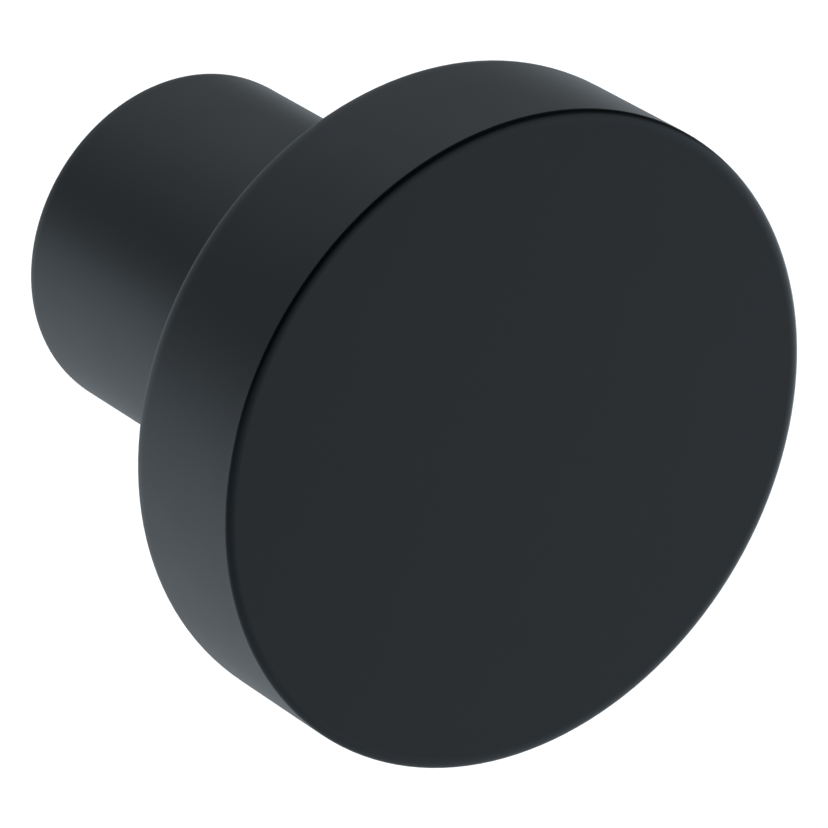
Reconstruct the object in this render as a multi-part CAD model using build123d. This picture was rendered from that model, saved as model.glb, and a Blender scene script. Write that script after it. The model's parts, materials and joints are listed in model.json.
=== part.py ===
from build123d import *
from math import radians, tan
import os

# Cabinet knob, turned as one piece: a flat round head on a straight round neck.
# Sizes are in millimetres. The knob's axis is Y, as on an upright door with Z up:
# the mounting face lies in the plane y = 0, and the head faces -Y.

# Overall form
projection = 26.6
head_diameter = 30.0
head_thickness = 7.1
neck_diameter = 16.0

# Rounding of the outer edges, and of the inner corner where the neck meets the head
front_rim_rounding = 0.3
rear_rim_rounding = 0.5
neck_foot_rounding = 0.5
neck_root_rounding = 0.5

# Blind tapped hole in the mounting face, for one machine screw
thread_diameter = 4.0
thread_pitch = 0.7
thread_depth = 10.0
tap_runout = 2.1
mouth_diameter = 4.4
mouth_angle = 90.0
drill_point_angle = 118.0

# Sizes that follow from those above
head_radius = head_diameter / 2
neck_radius = neck_diameter / 2
neck_length = projection - head_thickness
drill_radius = (thread_diameter - thread_pitch) / 2
drill_depth = thread_depth + tap_runout


def cone_depth(wide_radius, narrow_radius, full_angle):
    """How far a cone of this full angle runs between its two radii."""
    return (wide_radius - narrow_radius) / tan(radians(full_angle / 2))


def round_corner(section, radius, y, rounding):
    """Round the corner of a half section that lies at this radius and this place on the axis."""
    corner = section.vertices().sort_by_distance((radius, y, 0))[0]
    return fillet(corner, rounding)


def knob_half_section():
    """Half of the knob, cut through its axis: X is the radius, Y runs along the axis."""
    section = make_face(
        Polyline(
            (0, 0),
            (neck_radius, 0),
            (neck_radius, -neck_length),
            (head_radius, -neck_length),
            (head_radius, -projection),
            (0, -projection),
            close=True,
        )
    )
    section = round_corner(section, neck_radius, 0, neck_foot_rounding)
    section = round_corner(section, neck_radius, -neck_length, neck_root_rounding)
    section = round_corner(section, head_radius, -neck_length, rear_rim_rounding)
    section = round_corner(section, head_radius, -projection, front_rim_rounding)
    return section


def tapped_hole():
    """The hole's space: countersunk mouth, straight wall left by the tap drill, drill point."""
    mouth_radius = mouth_diameter / 2
    mouth_depth = cone_depth(mouth_radius, drill_radius, mouth_angle)
    point_depth = cone_depth(drill_radius, 0, drill_point_angle)
    half_section = make_face(
        Polyline(
            (0, 0),
            (mouth_radius, 0),
            (drill_radius, -mouth_depth),
            (drill_radius, -drill_depth),
            (0, -drill_depth - point_depth),
            close=True,
        )
    )
    return revolve(half_section, Axis.Y)


def knob():
    """The turned body with its tapped hole."""
    body = revolve(knob_half_section(), Axis.Y) - tapped_hole()
    body.label = "knob"
    return body


os.makedirs("parts", exist_ok=True)
export_step(knob(), "parts/knob.step")
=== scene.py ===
import json
import math

import bmesh
import bpy
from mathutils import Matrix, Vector


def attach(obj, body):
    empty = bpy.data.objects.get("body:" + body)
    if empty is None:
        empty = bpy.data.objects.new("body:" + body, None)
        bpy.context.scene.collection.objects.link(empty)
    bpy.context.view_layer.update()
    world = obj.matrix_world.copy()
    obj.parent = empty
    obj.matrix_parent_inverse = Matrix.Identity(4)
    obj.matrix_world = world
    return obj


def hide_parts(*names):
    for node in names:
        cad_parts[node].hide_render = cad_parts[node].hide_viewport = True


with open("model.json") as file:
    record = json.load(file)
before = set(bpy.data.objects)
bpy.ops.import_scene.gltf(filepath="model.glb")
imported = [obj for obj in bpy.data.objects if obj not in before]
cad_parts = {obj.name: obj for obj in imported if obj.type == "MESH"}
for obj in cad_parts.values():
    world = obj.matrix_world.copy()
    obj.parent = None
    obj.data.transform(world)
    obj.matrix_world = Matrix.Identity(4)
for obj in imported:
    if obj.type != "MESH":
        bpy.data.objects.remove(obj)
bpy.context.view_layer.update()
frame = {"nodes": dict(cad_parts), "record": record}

# A matte black cabinet knob above a pale floor. Sizes are in metres unless a name says otherwise.
# The knob's axis is Y: its mounting face lies in y = 0 and its head faces -Y.
NODE = "knob"

# How closely two sizes read from the solid have to agree to be the same
TOUCH = 0.00002


def solid_surface():
    """Every vertex of the CAD solid's mesh as (distance from the axis, place along the axis)."""
    vertices = frame["nodes"][NODE].data.vertices
    return [(math.hypot(vertex.co.x, vertex.co.z), vertex.co.y) for vertex in vertices]


def radii_at(y):
    """The distances from the axis at which the solid has vertices in this plane."""
    return [radius for radius, place in SURFACE if abs(place - y) < TOUCH]


# Sizes of the head and the neck, read from the solid
SURFACE = solid_surface()
FRONT_Y = min(y for _, y in SURFACE)
HEAD_RADIUS = max(radius for radius, _ in SURFACE)
NECK_RADIUS = max(radius for radius, y in SURFACE if y > FRONT_Y / 2)
REAR_Y = max(y for radius, y in SURFACE if radius > (HEAD_RADIUS + NECK_RADIUS) / 2)
FRONT_ROUNDING = HEAD_RADIUS - max(radii_at(FRONT_Y))
REAR_ROUNDING = HEAD_RADIUS - max(radii_at(REAR_Y))
ROOT_ROUNDING = min(radii_at(REAR_Y)) - NECK_RADIUS
FOOT_ROUNDING = NECK_RADIUS - max(radii_at(0))

# Sizes of the screw hole, read from the solid and the record
SCREW_HOLE = next(mount for mount in frame["record"]["mounts"] if mount["name"] == "screw_hole")
DRILL_RADIUS = SCREW_HOLE["dims"]["r_mm"] / 1000
MOUTH_RADIUS = min(radii_at(0))
DRILL_END_Y = min(y for radius, y in SURFACE if abs(radius - DRILL_RADIUS) < TOUCH)
DRILL_TIP_Y = min(y for radius, y in SURFACE if radius < TOUCH and y > FRONT_Y + TOUCH)

# The M4 thread, cut outwards from the drilled wall. Its flanks stand 60 degrees apart and meet a
# flat root, and it fades out towards its inner end.
THREAD_RADIUS = 0.002
THREAD_PITCH = 0.0007
THREAD_DEPTH = 0.010
THREAD_FADE = 0.0011
ROOT_FLAT = THREAD_PITCH / 8
FLANK_SLOPE = math.sqrt(3)

# How finely the surfaces are divided
SEGMENTS = 144
CORNER_STEPS = 14
FACE_RINGS = 6
WALL_STEP = 0.002
THREAD_STEP = THREAD_PITCH / 14

# Eased corners: how full their curve is, where 2 would be a quarter of an ellipse, and how far
# each corner reaches along its two faces
CORNER_POWER = 2.3
FRONT_ON_FACE = FRONT_ROUNDING * 2.35
FRONT_ON_SIDE = FRONT_ROUNDING * 0.93
REAR_ON_SIDE = REAR_ROUNDING * 1.8
REAR_ON_BACK = REAR_ROUNDING * 0.75
FOOT_ON_SIDE = FOOT_ROUNDING * 1.5
FOOT_ON_END = FOOT_ROUNDING * 0.5

# Places in the mesh's list of materials, after the coating, which is first
EDGE_PLACE = 1
METAL_PLACE = 2

# Black coating: its colour, its cool gloss, the clouds in both, and its powder grain
COATING_DARK = (0.0011, 0.0013, 0.0015)
COATING_PALE = (0.0014, 0.0016, 0.0018)
COATING_IOR = 1.5
COATING_GLOSS = 0.535
COATING_GLOSS_TINT = (0.85, 0.935, 1.0)
COATING_CLOUD_SIZE = 0.0035
COATING_CLOUD_DETAIL = 3.0
COATING_GRAIN_SIZE = 0.00012
COATING_GRAIN_DETAIL = 2.0
COATING_GRAIN_HEIGHT = 0.0000004

# Roughness of the coating, and of the same coating where it lies smoother over the front edge
FACE_ROUGHNESS = (0.47, 0.49)
EDGE_ROUGHNESS = (0.29, 0.31)

# Bare zinc alloy in the screw hole
METAL_DARK = (0.36, 0.37, 0.39)
METAL_PALE = (0.50, 0.51, 0.53)
METAL_ROUGHNESS = (0.28, 0.42)
METAL_CLOUD_SIZE = 0.0003
METAL_CLOUD_DETAIL = 3.0
METAL_GRAIN_SIZE = 0.00005
METAL_GRAIN_DETAIL = 1.0
METAL_GRAIN_HEIGHT = 0.0000005

# The middle range, in which most values of a noise texture lie
NOISE_LOW = 0.3
NOISE_HIGH = 0.7

# Camera: its direction and distance from the point that it is aimed at, and how far that point
# lies to the right of the front's centre and above it, as the camera sees them
CAMERA_AZIMUTH = math.radians(-34.94)
CAMERA_ELEVATION = math.radians(24.93)
CAMERA_DISTANCE = 0.3087
CLIP_NEAR = CAMERA_DISTANCE / 10
CLIP_FAR = CAMERA_DISTANCE * 20
AIM_RIGHT = -0.00453
AIM_UP = 0.00127
LENS_MM = 315.1
SENSOR_MM = 36.0

# Floor: so far below the head that no shadow shows in the camera's picture. The lift is the light
# that it adds for the rays that see it.
FLOOR_DROP = 0.040
FLOOR_SIZE = 3.0
FLOOR_CELLS = 8
FLOOR_COLOUR = (0.8, 0.8, 0.8)
FLOOR_ROUGHNESS = 0.9
FLOOR_LIFT = 0.42

# Soft light on the knob from the room and from the floor round it. Each source has the direction
# in which it is brightest, its brightness there, and how narrow it is.
ROOM_LIGHT = {
    "pale_wall_above_behind": ((0.0, 1.0, 1.0), 0.95, 5.0),
}
FLOOR_LIGHT = {
    "white_floor_left": ((-1.0, 0.0, 0.0), 2.1, 1.5),
    "white_floor_right": ((1.0, 0.0, 0.0), 2.1, 4.0),
}

# The soft light is a little cool, and the floor's passes into the room's this close to the horizon
LIGHT_COLOUR = (0.91, 1.0, 1.07)
HORIZON_BLUR = 0.02

# How narrow the dark part round the camera is, and how narrow the white backdrop opposite it is
# where gloss shows it
DARK_SIDE = 1.5
BACKDROP_NARROW = 12.0

# A broad lamp for the coating's own colour and the floor
LAMP_FROM = (0.5, -0.9, 0.9)
LAMP_STRENGTH = 3.2
LAMP_SPREAD = math.radians(40)

WHITE = (1.0, 1.0, 1.0)


def eased_corner(radius, y, before, after, reach_before, reach_after):
    """Points of an eased corner: it leaves both faces slowly and turns fastest in its middle.

    Before and after are the directions from the sharp corner along the faces that it joins.
    """
    points = []
    for step in range(CORNER_STEPS + 1):
        angle = math.radians(90 * step / CORNER_STEPS)
        on_before = reach_before * (1 - math.sin(angle) ** (2 / CORNER_POWER))
        on_after = reach_after * (1 - math.cos(angle) ** (2 / CORNER_POWER))
        points.append((
            radius + before[0] * on_before + after[0] * on_after,
            y + before[1] * on_before + after[1] * on_after,
        ))
    return points


def between(start, end, count):
    """Points that divide a straight stretch of the outline, without its two ends."""
    return [
        tuple(a + (b - a) * step / count for a, b in zip(start, end))
        for step in range(1, count)
    ]


def outline():
    """The turned outline from the front's centre to the mouth of the screw hole, as (radius, y)."""
    inwards, outwards, forwards, backwards = (-1, 0), (1, 0), (0, -1), (0, 1)
    front = eased_corner(HEAD_RADIUS, FRONT_Y, inwards, backwards, FRONT_ON_FACE, FRONT_ON_SIDE)
    rear = eased_corner(HEAD_RADIUS, REAR_Y, forwards, inwards, REAR_ON_SIDE, REAR_ON_BACK)
    root = eased_corner(NECK_RADIUS, REAR_Y, outwards, backwards, ROOT_ROUNDING, ROOT_ROUNDING)
    foot = eased_corner(NECK_RADIUS, 0.0, forwards, inwards, FOOT_ON_SIDE, FOOT_ON_END)
    mouth = (MOUTH_RADIUS, 0.0)
    points = between((0.0, FRONT_Y), front[0], FACE_RINGS) + front
    for stretch in (rear, root, foot, [mouth]):
        length = math.dist(points[-1], stretch[0])
        points += between(points[-1], stretch[0], max(1, round(length / WALL_STEP)))
        points += stretch
    return points


def thread_radius(depth, angle):
    """How far the thread reaches from the axis, at this depth and this angle round it."""
    turns = -depth / THREAD_PITCH - angle / math.tau
    from_groove = abs(turns % 1 - 0.5) * THREAD_PITCH
    cut = THREAD_RADIUS - DRILL_RADIUS - FLANK_SLOPE * max(0.0, from_groove - ROOT_FLAT / 2)
    fade = min(1.0, max(0.0, (THREAD_DEPTH - depth) / THREAD_FADE))
    return DRILL_RADIUS + max(0.0, cut) * fade


def hole_ring(depth, angles):
    """Radii of the screw hole at one depth: the countersink or the thread, whichever is wider.

    The countersink's sides stand 90 degrees apart, so it narrows by as much as it goes in.
    """
    countersink = MOUTH_RADIUS - depth
    return [max(countersink, thread_radius(depth, angle)) for angle in angles]


def knob_rings(angles):
    """Every ring of the knob as (y, radii), and the number of the ring at the hole's mouth."""
    rings = [(y, [radius] * SEGMENTS) for radius, y in outline()]
    mouth = len(rings) - 1
    steps = round(THREAD_DEPTH / THREAD_STEP)
    for step in range(1, steps + 1):
        depth = THREAD_DEPTH * step / steps
        rings.append((-depth, hole_ring(depth, angles)))
    rings.append((DRILL_END_Y, [DRILL_RADIUS] * SEGMENTS))
    return rings, mouth


def on_front_edge(point):
    """Whether a point of the surface lies on the eased front edge."""
    radius = math.hypot(point.x, point.z)
    return radius > HEAD_RADIUS - FRONT_ON_FACE and point.y < FRONT_Y + FRONT_ON_SIDE


def add_faces(mesh, loops, mouth):
    """The faces between the rings and to the centres at both ends, each with its material."""
    front_centre = mesh.verts.new((0.0, FRONT_Y, 0.0))
    drill_tip = mesh.verts.new((0.0, DRILL_TIP_Y, 0.0))
    for step in range(SEGMENTS):
        after = (step + 1) % SEGMENTS
        mesh.faces.new((front_centre, loops[0][after], loops[0][step]))
        point = mesh.faces.new((drill_tip, loops[-1][step], loops[-1][after]))
        point.material_index = METAL_PLACE
        for number, (near, far) in enumerate(zip(loops, loops[1:])):
            face = mesh.faces.new((near[step], near[after], far[after], far[step]))
            if number >= mouth:
                face.material_index = METAL_PLACE
            elif on_front_edge(face.calc_center_median()):
                face.material_index = EDGE_PLACE


def sharpen(loop):
    """Mark the edges along one ring as sharp."""
    for edge in {edge for vertex in loop for edge in vertex.link_edges}:
        edge.smooth = not all(vertex in loop for vertex in edge.verts)


def build_knob(coating, edge_coating, bare_metal):
    """The knob as one closed mesh: rings from the front's centre to the tip of the drilled hole."""
    angles = [math.tau * step / SEGMENTS for step in range(SEGMENTS)]
    rings, mouth = knob_rings(angles)
    mesh = bmesh.new()
    loops = []
    for y, radii in rings:
        turned = zip(radii, angles)
        loops.append([mesh.verts.new((r * math.sin(a), y, r * math.cos(a))) for r, a in turned])
    add_faces(mesh, loops, mouth)
    for face in mesh.faces:
        face.smooth = True
    bmesh.ops.recalc_face_normals(mesh, faces=mesh.faces)
    sharpen(loops[mouth])
    sharpen(loops[-1])
    data = bpy.data.meshes.new("knob_body")
    mesh.to_mesh(data)
    mesh.free()
    for material in (coating, edge_coating, bare_metal):
        data.materials.append(material)
    knob = bpy.data.objects.new("knob_body", data)
    bpy.context.collection.objects.link(knob)
    normals = knob.modifiers.new("flat_faces_stay_flat", "WEIGHTED_NORMAL")
    normals.keep_sharp = True
    return knob


def new_material(name):
    """An empty node material with its shader, as (material, node tree, shader)."""
    material = bpy.data.materials.new(name)
    material.use_nodes = True
    tree = material.node_tree
    return material, tree, tree.nodes["Principled BSDF"]


def noise(tree, size, detail):
    """A noise texture whose lumps are about this size in metres."""
    coordinates = tree.nodes.new("ShaderNodeTexCoord")
    texture = tree.nodes.new("ShaderNodeTexNoise")
    texture.inputs["Scale"].default_value = 1 / size
    texture.inputs["Detail"].default_value = detail
    tree.links.new(coordinates.outputs["Object"], texture.inputs["Vector"])
    return texture.outputs["Fac"]


def spread(tree, value, low, high):
    """A noise value carried from its usual middle range to this one."""
    mapped = tree.nodes.new("ShaderNodeMapRange")
    mapped.inputs["From Min"].default_value = NOISE_LOW
    mapped.inputs["From Max"].default_value = NOISE_HIGH
    mapped.inputs["To Min"].default_value = low
    mapped.inputs["To Max"].default_value = high
    tree.links.new(value, mapped.inputs["Value"])
    return mapped.outputs["Result"]


def colour_between(tree, value, dark, pale):
    """A colour that follows a noise value from dark to pale."""
    ramp = tree.nodes.new("ShaderNodeValToRGB")
    ramp.color_ramp.elements[0].position = NOISE_LOW
    ramp.color_ramp.elements[1].position = NOISE_HIGH
    ramp.color_ramp.elements[0].color = (*dark, 1.0)
    ramp.color_ramp.elements[1].color = (*pale, 1.0)
    tree.links.new(value, ramp.inputs["Fac"])
    return ramp.outputs["Color"]


def add_bump(tree, shader, value, height):
    """Surface relief of this height in metres, from a noise value."""
    bump = tree.nodes.new("ShaderNodeBump")
    bump.inputs["Distance"].default_value = height
    tree.links.new(value, bump.inputs["Height"])
    tree.links.new(bump.outputs["Normal"], shader.inputs["Normal"])


def coating_material(name, roughness):
    """Matte black coating: nearly black in itself, with a cool soft gloss and a fine powder grain."""
    material, tree, shader = new_material(name)
    shader.inputs["IOR"].default_value = COATING_IOR
    shader.inputs["Specular IOR Level"].default_value = COATING_GLOSS
    shader.inputs["Specular Tint"].default_value = (*COATING_GLOSS_TINT, 1.0)
    clouds = noise(tree, COATING_CLOUD_SIZE, COATING_CLOUD_DETAIL)
    colour = colour_between(tree, clouds, COATING_DARK, COATING_PALE)
    tree.links.new(colour, shader.inputs["Base Color"])
    tree.links.new(spread(tree, clouds, *roughness), shader.inputs["Roughness"])
    grain = noise(tree, COATING_GRAIN_SIZE, COATING_GRAIN_DETAIL)
    add_bump(tree, shader, grain, COATING_GRAIN_HEIGHT)
    return material


def bare_metal_material():
    """Bare zinc alloy in the tapped hole, slightly cloudy and finely grained."""
    material, tree, shader = new_material("bare_zinc")
    shader.inputs["Metallic"].default_value = 1.0
    clouds = noise(tree, METAL_CLOUD_SIZE, METAL_CLOUD_DETAIL)
    colour = colour_between(tree, clouds, METAL_DARK, METAL_PALE)
    tree.links.new(colour, shader.inputs["Base Color"])
    tree.links.new(spread(tree, clouds, *METAL_ROUGHNESS), shader.inputs["Roughness"])
    grain = noise(tree, METAL_GRAIN_SIZE, METAL_GRAIN_DETAIL)
    add_bump(tree, shader, grain, METAL_GRAIN_HEIGHT)
    return material


def camera_axes():
    """The camera's right, up and back directions."""
    back = Vector((
        math.sin(CAMERA_AZIMUTH) * math.cos(CAMERA_ELEVATION),
        -math.cos(CAMERA_AZIMUTH) * math.cos(CAMERA_ELEVATION),
        math.sin(CAMERA_ELEVATION),
    ))
    right = Vector((math.cos(CAMERA_AZIMUTH), math.sin(CAMERA_AZIMUTH), 0.0))
    return right, back.cross(right), back


def place_camera():
    """A long lens that looks down at the knob, aimed a little left of the front's centre."""
    right, up, back = camera_axes()
    camera = bpy.data.objects.new("camera", bpy.data.cameras.new("camera"))
    bpy.context.collection.objects.link(camera)
    camera.data.sensor_width = SENSOR_MM
    camera.data.lens = LENS_MM
    camera.data.clip_start = CLIP_NEAR
    camera.data.clip_end = CLIP_FAR
    aim = Vector((0.0, FRONT_Y, 0.0)) + right * AIM_RIGHT + up * AIM_UP
    camera.location = aim + back * CAMERA_DISTANCE
    camera.rotation_mode = "QUATERNION"
    camera.rotation_quaternion = (-back).to_track_quat("-Z", "Y")
    bpy.context.scene.camera = camera


def math_node(tree, operation, first, second):
    """The result of an operation on two values, each a number or another node's output."""
    result = tree.nodes.new("ShaderNodeMath")
    result.operation = operation
    for socket, value in zip(result.inputs, (first, second)):
        if isinstance(value, (int, float)):
            socket.default_value = value
        else:
            tree.links.new(value, socket)
    return result.outputs["Value"]


def facing(tree, direction, towards):
    """From 0, straight away from a direction, to 1, straight towards it."""
    dot = tree.nodes.new("ShaderNodeVectorMath")
    dot.operation = "DOT_PRODUCT"
    dot.inputs[1].default_value = Vector(towards).normalized()
    tree.links.new(direction, dot.inputs[0])
    return math_node(tree, "ADD", math_node(tree, "MULTIPLY", dot.outputs["Value"], 0.5), 0.5)


def all_sources(tree, direction, sources):
    """The brightness of all these sources together, in a direction."""
    light = 0.0
    for towards, level, narrow in sources.values():
        lobe = math_node(tree, "POWER", facing(tree, direction, towards), narrow)
        light = math_node(tree, "ADD", math_node(tree, "MULTIPLY", lobe, level), light)
    return light


def soft_light(tree, direction):
    """The room's light above the horizon and the floor's below it, dimmed round the camera."""
    parts = tree.nodes.new("ShaderNodeSeparateXYZ")
    tree.links.new(direction, parts.inputs["Vector"])
    light = tree.nodes.new("ShaderNodeMapRange")
    light.inputs["From Min"].default_value = -HORIZON_BLUR
    light.inputs["From Max"].default_value = HORIZON_BLUR
    tree.links.new(parts.outputs["Z"], light.inputs["Value"])
    tree.links.new(all_sources(tree, direction, FLOOR_LIGHT), light.inputs["To Min"])
    tree.links.new(all_sources(tree, direction, ROOM_LIGHT), light.inputs["To Max"])
    back = camera_axes()[2]
    near_camera = math_node(tree, "POWER", facing(tree, direction, back), DARK_SIDE)
    away = math_node(tree, "SUBTRACT", 1.0, near_camera)
    return math_node(tree, "MULTIPLY", light.outputs["Result"], away)


def seeing_rays(tree):
    """The light path's outputs, and 1 for the rays of the camera and those through glass."""
    rays = tree.nodes.new("ShaderNodeLightPath").outputs
    return rays, math_node(tree, "ADD", rays["Is Camera Ray"], rays["Is Transmission Ray"])


def light_studio():
    """The soft light on the knob, and the plain white that the camera sees.

    Glass shows that white too, and gloss shows it only the way the camera looks.
    """
    world = bpy.data.worlds.new("soft_studio")
    bpy.context.scene.world = world
    world.use_nodes = True
    tree = world.node_tree
    direction = tree.nodes.new("ShaderNodeTexCoord").outputs["Generated"]
    rays, seen = seeing_rays(tree)
    ahead = -camera_axes()[2]
    backdrop = math_node(tree, "POWER", facing(tree, direction, ahead), BACKDROP_NARROW)
    in_gloss = math_node(tree, "MULTIPLY", rays["Is Glossy Ray"], backdrop)
    white = math_node(tree, "ADD", seen, in_gloss)
    strength = math_node(tree, "MAXIMUM", soft_light(tree, direction), white)
    background = tree.nodes["Background"]
    tree.links.new(strength, background.inputs["Strength"])
    colour = tree.nodes.new("ShaderNodeMixRGB")
    colour.inputs["Color1"].default_value = (*LIGHT_COLOUR, 1.0)
    colour.inputs["Color2"].default_value = (*WHITE, 1.0)
    tree.links.new(seen, colour.inputs["Fac"])
    tree.links.new(colour.outputs["Color"], background.inputs["Color"])


def add_soft_lamp():
    """One broad lamp from the front right, above. It makes no highlight in gloss."""
    lamp = bpy.data.objects.new("soft_lamp", bpy.data.lights.new("soft_lamp", "SUN"))
    bpy.context.collection.objects.link(lamp)
    lamp.data.energy = LAMP_STRENGTH
    lamp.data.angle = LAMP_SPREAD
    lamp.rotation_mode = "QUATERNION"
    lamp.rotation_quaternion = Vector(LAMP_FROM).to_track_quat("Z", "Y")
    lamp.visible_glossy = False


def floor_material():
    """Pale matte floor, lifted to white for the rays that see it, with the knob's shadow kept."""
    material, tree, shader = new_material("pale_floor")
    shader.inputs["Base Color"].default_value = (*FLOOR_COLOUR, 1.0)
    shader.inputs["Roughness"].default_value = FLOOR_ROUGHNESS
    shader.inputs["Specular IOR Level"].default_value = 0.0
    shader.inputs["Emission Color"].default_value = (*WHITE, 1.0)
    rays, seen = seeing_rays(tree)
    seen = math_node(tree, "ADD", seen, rays["Is Glossy Ray"])
    lift = math_node(tree, "MULTIPLY", seen, FLOOR_LIFT)
    tree.links.new(lift, shader.inputs["Emission Strength"])
    return material


def lay_floor():
    """A plain pale floor below the knob. Its light on the knob is part of the soft light."""
    mesh = bmesh.new()
    bmesh.ops.create_grid(
        mesh, x_segments=FLOOR_CELLS, y_segments=FLOOR_CELLS, size=FLOOR_SIZE / 2
    )
    bmesh.ops.translate(mesh, verts=mesh.verts, vec=(0.0, 0.0, -HEAD_RADIUS - FLOOR_DROP))
    data = bpy.data.meshes.new("floor")
    mesh.to_mesh(data)
    mesh.free()
    floor = bpy.data.objects.new("floor", data)
    bpy.context.collection.objects.link(floor)
    data.materials.append(floor_material())
    floor.visible_glossy = False
    floor.visible_diffuse = False
    floor.visible_shadow = False


place_camera()
bpy.context.scene.view_settings.view_transform = "Standard"
knob = build_knob(
    coating_material("matte_black_coating", FACE_ROUGHNESS),
    coating_material("matte_black_coating_on_edge", EDGE_ROUGHNESS),
    bare_metal_material(),
)
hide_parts(NODE)
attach(knob, "root")
light_studio()
add_soft_lamp()
lay_floor()
